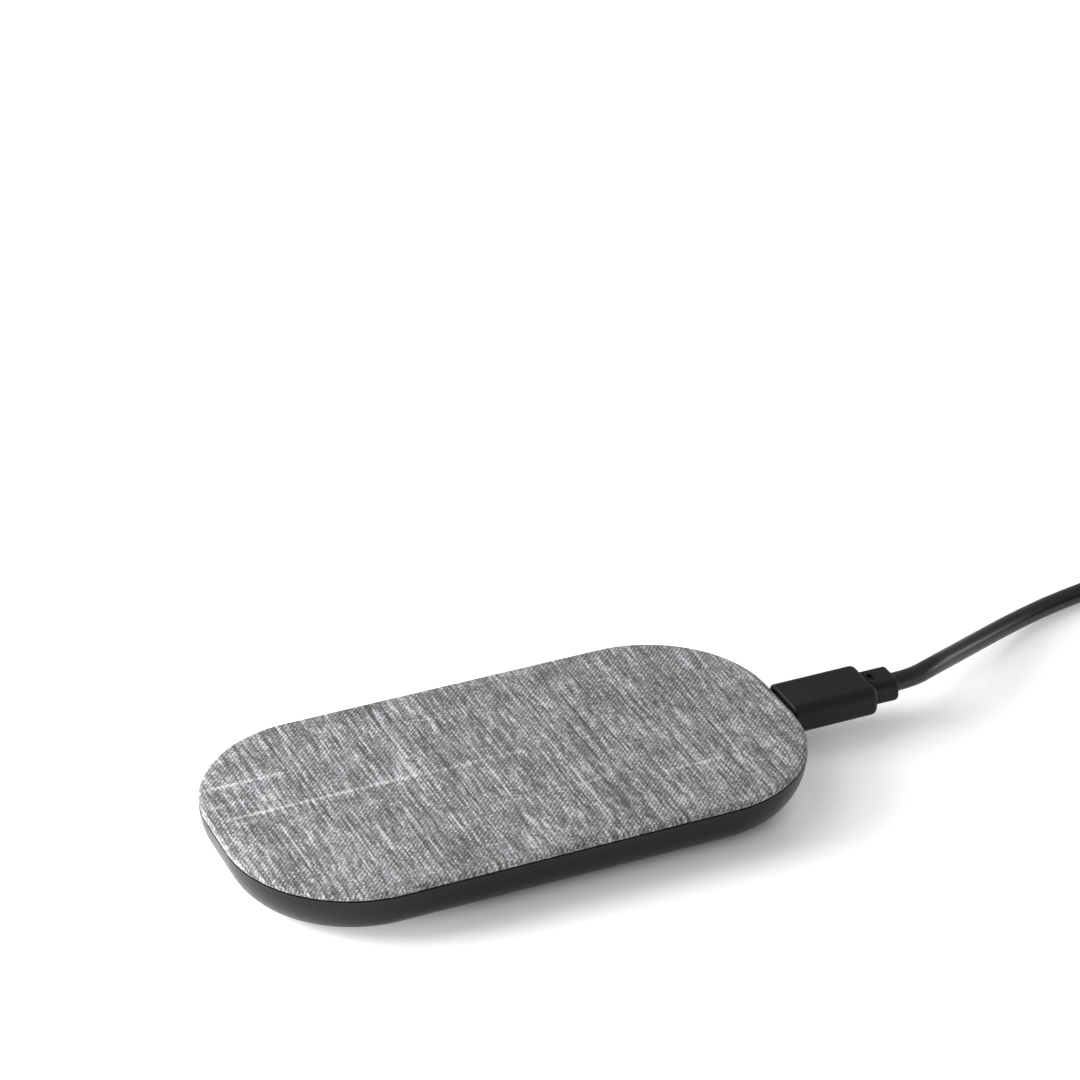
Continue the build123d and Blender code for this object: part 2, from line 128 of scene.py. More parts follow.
class Tree:
    """Short names for building a material's nodes."""

    def __init__(self, name):
        self.mat = bpy.data.materials.new(name)
        self.mat.use_nodes = True
        self.nt = self.mat.node_tree
        self.nt.nodes.clear()
        self.out = self.nt.nodes.new("ShaderNodeOutputMaterial")
        self.bsdf = self.nt.nodes.new("ShaderNodeBsdfPrincipled")
        self.nt.links.new(self.bsdf.outputs["BSDF"], self.out.inputs["Surface"])
        self._object = None

    def put(self, socket, value):
        if isinstance(value, bpy.types.NodeSocket):
            self.nt.links.new(value, socket)
        elif isinstance(value, (tuple, list)) and len(value) == 3 and socket.type == "RGBA":
            socket.default_value = (*value, 1.0)
        else:
            socket.default_value = value

    def node(self, kind, **inputs):
        n = self.nt.nodes.new(kind)
        for k, v in inputs.items():
            self.put(n.inputs[k.replace("_", " ")], v)
        return n

    def place(self):
        """Where a point is on the object, in metres."""
        if self._object is None:
            self._object = self.nt.nodes.new("ShaderNodeTexCoord").outputs["Object"]
        return self._object

    def math(self, op, a, b=0.0, c=0.0, clamp=False):
        n = self.nt.nodes.new("ShaderNodeMath")
        n.operation = op
        n.use_clamp = clamp
        for s, v in zip(n.inputs, (a, b, c)):
            self.put(s, v)
        return n.outputs[0]

    def vmath(self, op, a, b=(0.0, 0.0, 0.0)):
        n = self.nt.nodes.new("ShaderNodeVectorMath")
        n.operation = op
        self.put(n.inputs[0], a)
        if op == "SCALE":
            self.put(n.inputs["Scale"], b)
        else:
            self.put(n.inputs[1], b)
        return n.outputs[0]

    def split(self, v):
        n = self.nt.nodes.new("ShaderNodeSeparateXYZ")
        self.put(n.inputs[0], v)
        return n.outputs

    def join(self, x, y, z):
        n = self.nt.nodes.new("ShaderNodeCombineXYZ")
        for s, v in zip(n.inputs, (x, y, z)):
            self.put(s, v)
        return n.outputs[0]

    def noise(self, vector, scale, detail=2.0, rough=0.5, dims="3D"):
        n = self.nt.nodes.new("ShaderNodeTexNoise")
        n.noise_dimensions = dims
        self.put(n.inputs["Vector"], vector)
        n.inputs["Scale"].default_value = scale
        n.inputs["Detail"].default_value = detail
        n.inputs["Roughness"].default_value = rough
        return n.outputs["Fac"]

    def white(self, vector, dims="3D"):
        n = self.nt.nodes.new("ShaderNodeTexWhiteNoise")
        n.noise_dimensions = dims
        self.put(n.inputs["Vector"], vector)
        return n.outputs["Value"]

    def remap(self, v, a, b, c=0.0, d=1.0, smooth=False):
        n = self.nt.nodes.new("ShaderNodeMapRange")
        n.interpolation_type = "SMOOTHSTEP" if smooth else "LINEAR"
        n.clamp = True
        for s, x in zip(("Value", "From Min", "From Max", "To Min", "To Max"), (v, a, b, c, d)):
            self.put(n.inputs[s], x)
        return n.outputs["Result"]

    def mix(self, f, a, b, kind="MIX"):
        n = self.nt.nodes.new("ShaderNodeMix")
        n.data_type = "RGBA"
        n.blend_type = kind
        n.clamp_factor = True
        self.put(n.inputs[0], f)
        self.put(n.inputs[6], a if isinstance(a, bpy.types.NodeSocket) else (*a, 1.0))
        self.put(n.inputs[7], b if isinstance(b, bpy.types.NodeSocket) else (*b, 1.0))
        return n.outputs[2]

    def grey(self, v):
        n = self.nt.nodes.new("ShaderNodeCombineColor")
        for s in n.inputs:
            self.put(s, v)
        return n.outputs[0]

    def attribute(self, name):
        n = self.nt.nodes.new("ShaderNodeAttribute")
        n.attribute_type = "GEOMETRY"
        n.attribute_name = name
        return n

    def bump(self, height, distance, strength=1.0):
        n = self.nt.nodes.new("ShaderNodeBump")
        n.inputs["Strength"].default_value = strength
        n.inputs["Distance"].default_value = distance
        self.put(n.inputs["Height"], height)
        self.put(self.bsdf.inputs["Normal"], n.outputs["Normal"])
        return n

    def set(self, **values):
        for k, v in values.items():
            self.put(self.bsdf.inputs[k.replace("_", " ")], v)


def moulded(name, dark, light, rough, grain, depth, specular=0.5, cloud=60.0):
    """Moulded plastic: a fine spark-eroded grain, with its colour and gloss slightly uneven."""
    t = Tree(name)
    p = t.place()
    clouds = t.noise(p, cloud, 3.0, 0.55)
    fine = t.noise(p, grain, 3.0, 0.65)
    both = t.math("ADD", t.math("MULTIPLY", clouds, 0.65), t.math("MULTIPLY", fine, 0.35))
    t.set(Base_Color=t.mix(t.remap(both, 0.32, 0.68), dark, light))
    t.set(Roughness=t.remap(both, 0.3, 0.7, rough - 0.05, rough + 0.06), Specular_IOR_Level=specular)
    t.bump(fine, depth)
    return t


def brushed_metal(name, colour, rough, grain=(40.0, 1800.0, 1800.0), depth=0.000006):
    t = Tree(name)
    p = t.vmath("MULTIPLY", t.place(), grain)
    lines = t.noise(p, 1.0, 3.0, 0.6)
    spots = t.noise(t.place(), 260.0, 2.0, 0.6)
    darker = tuple(0.72 * c for c in colour)
    t.set(Base_Color=t.mix(t.remap(spots, 0.35, 0.75), colour, darker))
    t.set(Metallic=1.0, Roughness=t.remap(lines, 0.3, 0.7, rough - 0.06, rough + 0.1))
    t.bump(lines, depth)
    return t


def give(node, tree):
    o = nodes[node]
    o.data.materials.clear()
    o.data.materials.append(tree.mat)


# ---- cloth: a 2/1 twill of pale yarns along Y over dark yarns along X, slubby along Y
PITCH = 58.0 / 194      # one yarn, 0.30 mm


def cloth_material():
    t = Tree("heather_cloth")
    flat = t.attribute("cloth_flat").outputs["Vector"]      # where a point is on the flat cloth, in yarns
    slub = t.attribute("cloth_slub").outputs["Fac"]         # thick pale or thin dark stretches of a yarn
    x, y, _ = t.split(flat)

    def wave(sx, sy, seed, detail=2.0, rough=0.5, u=None, v=None):
        """Noise over the cloth with a spread of about one, stretched by the two scales."""
        n = t.noise(t.join(t.math("MULTIPLY", x if u is None else u, sx), t.math("MULTIPLY", y if v is None else v, sy), seed),
                    1.0, detail, rough)
        return t.math("MULTIPLY_ADD", n, 8.0, -4.0)

    def total(*terms):
        acc = None
        for weight, value in terms:
            w = t.math("MULTIPLY", value, weight)
            acc = w if acc is None else t.math("ADD", acc, w)
        return acc

    # the yarns wander a little
    ux = t.math("ADD", x, t.math("MULTIPLY", wave(0.02, 0.035, 3.0), 0.16))
    uy = t.math("ADD", y, t.math("MULTIPLY", wave(0.09, 0.03, 9.0), 0.28))
    i, j = t.math("FLOOR", ux), t.math("FLOOR", uy)
    fx, fy = t.math("FRACT", ux), t.math("FRACT", uy)
    step = t.math("FLOORED_MODULO", t.math("SUBTRACT", i, j), 3.0)
    under = t.math("LESS_THAN", step, 0.5)
    over = t.math("SUBTRACT", 1.0, under)
    # height of each yarn: round across itself, and arched where it floats over the other
    cx = t.math("SUBTRACT", 1.0, t.math("POWER", t.math("ABSOLUTE", t.math("MULTIPLY_ADD", fx, 2.0, -1.0)), 2.2))
    cy = t.math("SUBTRACT", 1.0, t.math("POWER", t.math("ABSOLUTE", t.math("MULTIPLY_ADD", fy, 2.0, -1.0)), 2.2))
    float_y = t.math("SINE", t.math("MULTIPLY", t.math("ADD", t.math("SUBTRACT", 2.0, step), t.math("SUBTRACT", 1.0, fy)), math.pi / 2))
    h_over = t.math("MULTIPLY_ADD", float_y, 0.40, t.math("MULTIPLY", cx, 0.60))
    h_under = t.math("MULTIPLY", cy, 0.45)
    height = t.math("ADD", t.math("MULTIPLY", h_over, over), t.math("MULTIPLY", h_under, under))
    # tone of the pale yarns, changing along each one, and in bundles of a few neighbours
    run_long = t.noise(t.join(t.math("MULTIPLY", i, 7.31), t.math("MULTIPLY", y, 0.022), 1.7), 1.0, 2.5, 0.6)
    run_long = t.math("MULTIPLY_ADD", run_long, 8.0, -4.0)
    run_mid = t.noise(t.join(t.math("MULTIPLY", i, 5.17), t.math("MULTIPLY", y, 0.10), 5.7), 1.0, 2.0, 0.6)
    run_mid = t.math("MULTIPLY_ADD", run_mid, 8.0, -4.0)
    bundle = wave(0.40, 0.016, 21.0, 2.0, 0.6)
    bundle_short = wave(0.55, 0.06, 33.0, 2.0, 0.6)
    run_x = t.noise(t.join(t.math("MULTIPLY", x, 0.05), t.math("MULTIPLY", j, 5.77), 8.3), 1.0, 2.5, 0.62)
    run_x = t.math("MULTIPLY_ADD", run_x, 8.0, -4.0)
    # mixed pale and dark fibre in each crossing
    cell = t.math("MULTIPLY_ADD", t.white(t.join(i, j, 0.5)), 3.4, -1.7)
    fibre = wave(3.2, 0.9, 0.0, 3.0, 0.7)
    patch = wave(0.03, 0.022, 2.0, 3.0, 0.55)
    weave = wave(0.035, 0.045, 44.0, 2.0, 0.5)      # where the twill shows more and less
    tone = total((0.33, run_long), (0.32, run_mid), (0.23, bundle), (0.20, bundle_short), (0.12, run_x),
                 (0.30, cell), (0.24, fibre), (0.15, patch), (0.56, slub))
    twill = t.math("MULTIPLY", t.math("MULTIPLY_ADD", weave, 0.30, 0.70), under)
    tone = t.math("SUBTRACT", tone, twill)
    # painted shade and highlight: the tops of the yarns are made paler and the low parts between them darker, by their
    # height
    tone = t.math("ADD", tone, t.math("MULTIPLY_ADD", height, 0.45, -0.06))
    albedo = t.math("MULTIPLY", t.math("EXPONENT", t.math("MAXIMUM", t.math("MINIMUM", tone, 1.15), -1.6)), CLOTH_ALBEDO)
    # a little cool and warm fibre in the grey
    hue = wave(0.016, 0.02, 6.0)
    tint = t.mix(t.remap(hue, -1.2, 1.2), (0.985, 0.985, 1.02), (1.008, 1.003, 0.99))
    t.set(Base_Color=t.mix(1.0, t.grey(albedo), tint, "MULTIPLY"))
    t.set(Roughness=t.remap(cell, -1.7, 1.7, 0.95, 0.8), Specular_IOR_Level=0.2)
    t.bsdf.inputs["Sheen Weight"].default_value = 0.12
    t.bsdf.inputs["Sheen Roughness"].default_value = 0.45
    t.bsdf.inputs["Sheen Tint"].default_value = (0.9, 0.9, 0.92, 1.0)
    t.bump(t.math("ADD", height, t.math("MULTIPLY", t.math("ADD", t.math("MULTIPLY", fibre, 0.2), slub), 0.3)), 0.00010, 1.0)
    return t


CLOTH_ALBEDO = 0.198

# ---------------------------------------------------------------- cloth cover
PAD_L, PAD_W, PAD_R = 102.0, 54.0, 22.0
Z_SEAM, Z_TOP = 8.2, 9.15
CLOTH_T, HEM, EDGE_R = 0.3, 2.5, 0.95
HX, HY = PAD_L / 2 - PAD_R, PAD_W / 2 - PAD_R


def slub_map():
    """Thick pale and thin dark stretches of the yarns that run along Y, and a few along X.
    Returns two functions that give them at points on the flat cloth, in mm."""
    rng = np.random.RandomState(11)
    step = 0.5
    n_yarn, n_along, n_cross = 380, 140, 220
    along_y = np.zeros((n_yarn, n_along))
    along_x = np.zeros((n_cross, 260))
    s = (np.arange(n_along) + 0.5) * step - n_along * step / 2

    def lay(grid, yarn, centre, half, amp, coords):
        if 0 <= yarn < grid.shape[0]:
            w = np.clip((half - np.abs(coords - centre)) / max(1.2, 0.22 * half), 0, 1)
            w = w * w * (3 - 2 * w)
            ragged = 0.75 + 0.25 * np.interp(coords, coords[::3], rng.uniform(0, 1.6, len(coords[::3])))
            grid[yarn] += amp * w * ragged

    for yarn in range(n_yarn):
        for _ in range(rng.poisson(2.6)):
            half = float(np.clip(rng.lognormal(0.9, 0.75), 0.8, 16))
            amp = rng.choice((rng.uniform(0.25, 0.85), -rng.uniform(0.2, 0.75)))
            lay(along_y, yarn, rng.uniform(-30, 30), half, amp, s)
    # the long ones that stand out: x, from y, to y, strength
    for x, y0, y1, amp in (
            (-40.6, -14, 24, 0.9), (-25.7, 7, 25, 0.8), (-14.1, -26, 26, 0.7), (-6.8, 12, 27, 1.5), (-6.4, 12, 26, 0.9),
            (-3.1, -12, 26, 1.2), (9.4, -23, 10, 1.6), (8.9, -14, 9, 0.6), (-16.2, -20, 2, 0.8), (41.1, -23, 24, 1.0),
            (36.9, -20, 2, 0.9), (27.3, 17, 25, 0.9), (-45.9, -8, 12, 0.6), (-6.7, -24, -3, 0.9), (33.0, -4, 16, 0.6),
            (-42.4, -20, 4, -1.2), (-45.3, -20, 5, -1.0), (-32.5, -16, 12, -0.9), (-18.6, -10, 22, -1.0),
            (-9.3, 0, 25, -1.2), (1.1, 6, 24, -0.9), (17.2, -1, 17, -1.3), (25.0, -17, 15, -1.0), (14.4, -6, 10, -0.9),
            (21.5, 9, 25, -0.7), (5.6, -22, -8, -0.8), (30.6, -14, 9, -0.6), (-29.2, -22, -2, -0.8)):
        lay(along_y, int(math.floor(x / PITCH)) + n_yarn // 2, (y0 + y1) / 2, (y1 - y0) / 2, 1.15 * amp, s)
    sx = (np.arange(260) + 0.5) * step - 130 * step
    for yarn in range(n_cross):
        for _ in range(rng.poisson(0.4)):
            half = float(np.clip(rng.lognormal(0.8, 0.6), 0.8, 9))
            lay(along_x, yarn, rng.uniform(-52, 52), half, rng.uniform(0.2, 0.6) * rng.choice((1, 1, -1)), sx)
    for y, x0, x1, amp in ((2.75, -50, -12, 1.2), (2.4, -14, 5, 0.8), (12.4, -52, -33, 1.0), (6.9, -52, -42, 0.8), (-13.0, 22, 34, 0.9), (-10.6, 2, 14, 0.5)):
        lay(along_x, int(math.floor(y / PITCH)) + n_cross // 2, (x0 + x1) / 2, (x1 - x0) / 2, 1.5 * amp, sx)

    # a slub across the cloth spreads a little over its neighbours
    wide = along_x.copy()
    wide[1:] += 0.55 * along_x[:-1]
    wide[:-1] += 0.55 * along_x[1:]
    along_x = wide

    def at(grid, across, along):
        yi = across / PITCH + grid.shape[0] // 2 - 0.5
        a = np.clip(np.floor(yi).astype(int), 0, grid.shape[0] - 2)
        f = np.clip(yi - a, 0, 1)
        sj = along / step + grid.shape[1] / 2 - 0.5
        b = np.clip(np.floor(sj).astype(int), 0, grid.shape[1] - 2)
        g = np.clip(sj - b, 0, 1)
        low = grid[a, b] * (1 - g) + grid[a, b + 1] * g
        high = grid[a + 1, b] * (1 - g) + grid[a + 1, b + 1] * g
        return low * (1 - f) + high * f

    return lambda x, y: at(along_y, x, y), lambda x, y: at(along_x, y, x)


def half_width(x, inset):
    """How far the outline drawn in by inset reaches to each side at x."""
    r = PAD_R - inset
    d = np.clip(np.abs(x) - HX, 0, r)
    return HY + np.sqrt(np.maximum(r * r - d * d, 0))


def cloth_cover():
    slub_y, slub_x = slub_map()
    inset = EDGE_R
    r = PAD_R - inset
    # columns on the middles of the yarns, closer together where the corners turn
    base = [PITCH * (k + 0.5) for k in range(200) if PITCH * (k + 0.5) < HX + r - 0.02] + [HX, HX + r]
    base.sort()
    xs = [base[0]]
    for a, b in zip(base[:-1], base[1:]):
        if a >= HX:
            a0, a1 = math.asin((a - HX) / r), math.asin(min(1.0, (b - HX) / r))
            n = max(1, math.ceil((a1 - a0) * r / 0.45))
            xs += [HX + r * math.sin(a0 + (a1 - a0) * q / n) for q in range(1, n)]
        xs.append(b)
    xs = np.array([-v for v in xs[::-1]] + xs)
    rows = 130
    ts = np.linspace(-1, 1, rows + 1)
    wide = half_width(xs, inset)
    gx = np.repeat(xs[:, None], rows + 1, 1)
    gy = wide[:, None] * ts[None, :]
    top = np.stack([gx, gy], -1)
    nc = len(xs)
    verts, flats = [], []
    index = np.arange(nc * (rows + 1)).reshape(nc, rows + 1)
    verts.append(np.concatenate([top.reshape(-1, 2), np.full((nc * (rows + 1), 1), Z_TOP)], 1))
    flats.append(top.reshape(-1, 2))
    faces = []
    for a in range(nc - 1):
        for b in range(rows):
            faces.append((index[a, b], index[a + 1, b], index[a + 1, b + 1], index[a, b + 1]))
    # the loop round the flat top, counter-clockwise
    loop = list(index[:, 0]) + list(index[-1, 1:]) + list(index[::-1, -1][1:]) + list(index[0, ::-1][1:-1])
    ring = verts[0][loop][:, :2]
    corner = np.stack([np.clip(ring[:, 0], -HX, HX), np.clip(ring[:, 1], -HY, HY)], 1)
    out = ring - corner
    # on the straight sides the outward way is straight out
    n_out = out / np.linalg.norm(out, axis=1)[:, None]
    base = corner + n_out * PAD_R      # on the pad's outline
    count = nc * (rows + 1)
    # the cloth's section: inset from the outline, height, distance run from the flat top's edge
    section = []
    rad = EDGE_R
    for q in range(1, 9):
        a = math.radians(90 * q / 8)
        section.append((rad * (1 - math.sin(a)), Z_TOP - rad * (1 - math.cos(a)), rad * a))
    low = 0.14
    z_side = Z_SEAM + low
    run = section[-1][2]
    if section[-1][1] - z_side > 0.05:
        section.append((0.0, z_side, run + section[-1][1] - z_side))
    run = section[-1][2]
    section[-1] = (0.0, max(z_side, section[-1][1]), run)
    for q in range(1, 4):
        a = math.radians(90 * q / 3)
        section.append((low * (1 - math.cos(a)), Z_SEAM + low * (1 - math.sin(a)), run + low * a))
    run = section[-1][2]
    for d in (0.5, 1.1, 1.8, HEM + CLOTH_T - 0.02):
        section.append((d, Z_SEAM, run + d - low))
    run = section[-1][2]
    # back over the cloth's inner side
    inner = [(HEM + CLOTH_T - 0.02, Z_SEAM + CLOTH_T), (1.2, Z_SEAM + CLOTH_T), (CLOTH_T + 0.02, Z_SEAM + CLOTH_T)]
    for q in range(1, 5):
        a = math.radians(90 * q / 4)
        inner.append((CLOTH_T + 0.35 * (1 - math.cos(a)), Z_TOP - CLOTH_T - 0.35 * (1 - math.sin(a))))
    for d, z in inner:
        section.append((d, z, run))
    last = loop
    for d, z, s in section:
        xy = base - n_out * d
        verts.append(np.concatenate([xy, np.full((len(xy), 1), z)], 1))
        flats.append(ring + n_out * s)
        this = list(range(count, count + len(xy)))
        count += len(xy)
        m = len(xy)
        for a in range(m):
            b = (a + 1) % m
            faces.append((last[a], this[a], this[b], last[b]))
        last = this
    faces.append(tuple(last))
    v = np.concatenate(verts)
    flat = np.concatenate(flats)
    sy, sx = slub_y(flat[:, 0], flat[:, 1]), slub_x(flat[:, 0], flat[:, 1])
    slub = sy + sx
    # thick stretches stand up, thin ones sink; nothing rises out of the cloth's own height
    n_top = nc * (rows + 1)
    lift = np.clip(slub, -1.2, 1.6) * 0.022 - 0.032
    v[:n_top, 2] += lift[:n_top]
    for q in range(1, 9):
        sl = slice(n_top + (q - 1) * len(loop), n_top + q * len(loop))
        a = math.radians(90 * q / 8)
        v[sl, 2] += lift[sl] * math.cos(a)
        v[sl, :2] += n_out * (np.minimum(lift[sl], 0) * math.sin(a))[:, None]
    mesh = bpy.data.meshes.new("cloth_cover")
    mesh.from_pydata((v * MM).tolist(), [], faces)
    mesh.polygons.foreach_set("use_smooth", [True] * len(mesh.polygons))
    at = mesh.attributes.new("cloth_flat", "FLOAT_VECTOR", "POINT")
    at.data.foreach_set("vector", np.concatenate([flat / PITCH + 400.0, np.zeros((len(flat), 1))], 1).astype(np.float32).ravel())
    at = mesh.attributes.new("cloth_slub", "FLOAT", "POINT")
    at.data.foreach_set("value", np.clip(slub, -2, 2).astype(np.float32))
    mesh.validate()
    mesh.update()
    o = bpy.data.objects.new("cloth_cover", mesh)
    scene.collection.objects.link(o)
    print("cloth cover:", len(mesh.vertices), "points,", len(mesh.polygons), "faces")
    return o


cover = cloth_cover()
cover.data.materials.append(cloth_material().mat)
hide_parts("fabric_cover")
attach(cover, "pad")

# ---------------------------------------------------------------- strap round the winding


def strap_path():
    """The strap's inner line in the plane across it: the hull of the cord's turns there, in (radius, height)."""
    pts = []
    for a, b in zip(cord_line[:-1], cord_line[1:]):
        if (a[1] - WIND_Y) * (b[1] - WIND_Y) <= 0 and a[0] < WIND_X - 5 and a[1] != b[1]:
            f = (WIND_Y - a[1]) / (b[1] - a[1])
            p = a + f * (b - a)
            if math.hypot(p[0] - WIND_X, p[1] - WIND_Y) < 40:
                pts.append((p[0], p[2]))
    ring = []
    for px, pz in pts:
        for q in range(40):
            a = 2 * math.pi * q / 40
            ring.append((px + (CORD_D / 2 + 0.03) * math.cos(a), pz + (CORD_D / 2 + 0.03) * math.sin(a)))
    ring = sorted(set(ring))

    def half_hull(points):
        h = []
        for p in points:
            while len(h) > 1 and (h[-1][0] - h[-2][0]) * (p[1] - h[-2][1]) - (h[-1][1] - h[-2][1]) * (p[0] - h[-2][0]) <= 0:
                h.pop()
            h.append(p)
        return h

    low, high = half_hull(ring), half_hull(ring[::-1])
    hull = low[:-1] + high[:-1]
    print("turns under the strap:", [(round(a, 1), round(b, 1)) for a, b in pts])
    return hull


def resample(points, step):
    p = np.array(points, float)
    d = np.concatenate([[0], np.cumsum(np.linalg.norm(np.diff(p, axis=0), axis=1))])
    n = max(2, int(round(d[-1] / step)))
    t = np.linspace(0, d[-1], n + 1)
    return np.stack([np.interp(t, d, p[:, k]) for k in range(p.shape[1])], 1)


def strap():
    hull = strap_path()
    closed = resample(hull + hull[:1], 0.5)[:-1]
    # start on top, near the outer end, go round and overlap by 10 mm on top
    top = [k for k in range(len(closed)) if closed[k][1] > closed[:, 1].max() - 0.05]
    start = max(top, key=lambda k: closed[k][0])
    ring = np.roll(closed, -start, axis=0)
    mid = ring.mean(0)
    area = sum(ring[k - 1][0] * ring[k][1] - ring[k][0] * ring[k - 1][1] for k in range(len(ring)))
    thick = 0.62
    walk = list(range(len(ring))) + list(range(int(9.0 / 0.5)))
    pts, nrm = [], []
    total = len(ring)
    for c, k in enumerate(walk):
        a, b = ring[(k - 1) % total], ring[(k + 1) % total]
        tan = (b - a) / np.linalg.norm(b - a)
        n = np.array([tan[1], -tan[0]]) * (1 if area > 0 else -1)
        over = 0.0 if c < total else 1.0
        ease = np.clip((c - (total - 5)) / 6.0, 0, 1)
        ease = ease * ease * (3 - 2 * ease)
        off = ease * (thick + 0.02)
        pts.append(ring[k] + n * off)
        nrm.append(n)
    pts, nrm = np.array(pts), np.array(nrm)
    bm = bmesh.new()
    flat_layer = bm.verts.layers.float_vector.new("strap_flat")
    prof_half = 3.0
    cross = [(-prof_half, 0.0), (-prof_half, thick * 0.55), (-prof_half + 0.18, thick), (-1.5, thick), (0.0, thick), (1.5, thick),
             (prof_half - 0.18, thick), (prof_half, thick * 0.55), (prof_half, 0.0), (1.5, 0.0), (0.0, 0.0), (-1.5, 0.0)]
    rings = []
    run = 0.0
    for c, (p, n) in enumerate(zip(pts, nrm)):
        if c:
            run += float(np.linalg.norm(p - pts[c - 1]))
        # the free end is rounded
        left = (len(pts) - 1 - c) * 0.5
        w = 1.0 if left > 2.0 else max(0.25, math.sqrt(max(0.0, 1 - ((2.0 - left) / 2.1) ** 2)))
        row = []
        for y, h in cross:
            q = p + n * h
            vert = bm.verts.new((q[0] * MM, (WIND_Y + y * w) * MM, q[1] * MM))
            vert[flat_layer] = (run, y * w, h)
            row.append(vert)
        rings.append(row)
    for a, b in zip(rings[:-1], rings[1:]):
        for k in range(len(cross)):
            m = (k + 1) % len(cross)
            bm.faces.new((a[k], a[m], b[m], b[k]))
    bm.faces.new(rings[0][::-1])
    bm.faces.new(rings[-1])
    bmesh.ops.recalc_face_normals(bm, faces=bm.faces)
    for f in bm.faces:
        f.smooth = True
    mesh = bpy.data.meshes.new("cord_strap")
    bm.to_mesh(mesh)
    bm.free()
    o = bpy.data.objects.new("cord_strap", mesh)
    scene.collection.objects.link(o)
    return o


tie = strap()


def strap_material():
    t = Tree("strap_loop_pile")
    flat = t.attribute("strap_flat").outputs["Vector"]
    x, y, _ = t.split(flat)
    ribs = t.math("SINE", t.math("MULTIPLY", x, 2 * math.pi / 0.55))
    loops = t.noise(t.vmath("MULTIPLY", flat, (3.6, 3.6, 3.6)), 1.0, 4.0, 0.7)
    fuzz = t.noise(t.vmath("MULTIPLY", flat, (11.0, 7.0, 9.0)), 1.0, 3.0, 0.7)
    tone = t.math("ADD", t.math("MULTIPLY", loops, 0.6), t.math("MULTIPLY", fuzz, 0.4))
    t.set(Base_Color=t.mix(t.remap(tone, 0.33, 0.68), (0.008, 0.008, 0.009), (0.045, 0.045, 0.048)))
    t.set(Roughness=t.remap(tone, 0.3, 0.7, 0.9, 0.75), Specular_IOR_Level=0.25)
    t.bsdf.inputs["Sheen Weight"].default_value = 0.5
    t.bsdf.inputs["Sheen Roughness"].default_value = 0.5
    edge = t.remap(t.math("ABSOLUTE", y), 2.55, 2.75, 1.0, 0.2)
    h = t.math("ADD", t.math("MULTIPLY", t.math("ADD", loops, t.math("MULTIPLY", fuzz, 0.6)), edge), t.math("MULTIPLY", ribs, 0.06))
    t.bump(h, 0.0002)
    return t


tie.data.materials.append(strap_material().mat)
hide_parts("cable_tie")
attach(tie, "cable")

# ---------------------------------------------------------------- finishes of the carried-over pieces


def shell_material():
    t = Tree("shell_satin_black")
    p = t.place()
    grain = t.noise(p, 5200.0, 2.0, 0.6)
    mid = t.noise(p, 900.0, 3.0, 0.6)
    clouds = t.noise(p, 45.0, 3.0, 0.55)
    tone = t.math("ADD", t.math("MULTIPLY", clouds, 0.5), t.math("MULTIPLY", mid, 0.5))
    base = t.mix(t.remap(tone, 0.35, 0.65), (0.0030, 0.0030, 0.0033), (0.0055, 0.0055, 0.0060))
    # painted highlight: a paler band along the top edge of the rim, where the edge catches the light, patchy with the
    # noise
    z = t.split(p)[2]
    rim_highlight = t.math("MULTIPLY", t.remap(z, 0.00765, 0.00793), t.remap(mid, 0.4, 0.62, 0.25, 1.0))
    t.set(Base_Color=t.mix(t.math("MULTIPLY", rim_highlight, 0.35), base, (0.04, 0.04, 0.042)))
    t.set(Roughness=t.remap(tone, 0.32, 0.68, 0.27, 0.35), Specular_IOR_Level=0.24)
    t.bump(t.math("ADD", grain, t.math("MULTIPLY", mid, 0.5)), 0.000012, 0.8)
    return t


def cord_material():
    t = Tree("cord_jacket_black")
    p = t.place()
    mid = t.noise(p, 420.0, 3.0, 0.6)
    fine = t.noise(p, 4200.0, 2.0, 0.6)
    both = t.math("ADD", t.math("MULTIPLY", mid, 0.55), t.math("MULTIPLY", fine, 0.45))
    t.set(Base_Color=t.mix(t.remap(both, 0.35, 0.65), (0.007, 0.007, 0.0075), (0.012, 0.012, 0.0125)))
    t.set(Roughness=t.remap(both, 0.3, 0.7, 0.30, 0.40), Specular_IOR_Level=0.5)
    t.bump(both, 0.00002, 0.7)
    return t


shell_mat = shell_material()
plug_mat = moulded("plug_matt_black", (0.0065, 0.0065, 0.007), (0.0115, 0.0115, 0.012), 0.50, 3800.0, 0.00001, 0.22, 160.0)
inner_mat = moulded("plate_dark_plastic", (0.03, 0.03, 0.033), (0.055, 0.055, 0.06), 0.55, 2600.0, 0.000012)
rubber_mat = moulded("foot_rubber", (0.018, 0.018, 0.018), (0.034, 0.034, 0.034), 0.78, 1500.0, 0.00003, 0.3)
epoxy_mat = moulded("chip_epoxy", (0.02, 0.02, 0.021), (0.042, 0.042, 0.043), 0.6, 5200.0, 0.000012, 0.4, 400.0)
ferrite_mat = moulded("ferrite_sheet", (0.045, 0.045, 0.05), (0.085, 0.085, 0.09), 0.42, 1400.0, 0.00001, 0.5, 120.0)
ceramic_mat = moulded("capacitor_ceramic", (0.42, 0.31, 0.20), (0.56, 0.43, 0.29), 0.35, 3200.0, 0.000008, 0.5, 500.0)
glue_mat = moulded("adhesive_ring", (0.66, 0.62, 0.50), (0.80, 0.77, 0.66), 0.5, 900.0, 0.00001, 0.4, 200.0)
foam_mat = moulded("foam_open_cell", (0.02, 0.02, 0.02), (0.10, 0.10, 0.10), 0.9, 1400.0, 0.00025, 0.15, 900.0)
tongue_mat = moulded("connector_plastic_black", (0.014, 0.014, 0.015), (0.026, 0.026, 0.027), 0.45, 3600.0, 0.000008)
white_mat = moulded("usb_a_plastic_white", (0.70, 0.70, 0.68), (0.84, 0.84, 0.82), 0.42, 2600.0, 0.000008)
lens_mat = moulded("led_lens", (0.55, 0.57, 0.58), (0.72, 0.74, 0.75), 0.25, 1800.0, 0.000006)
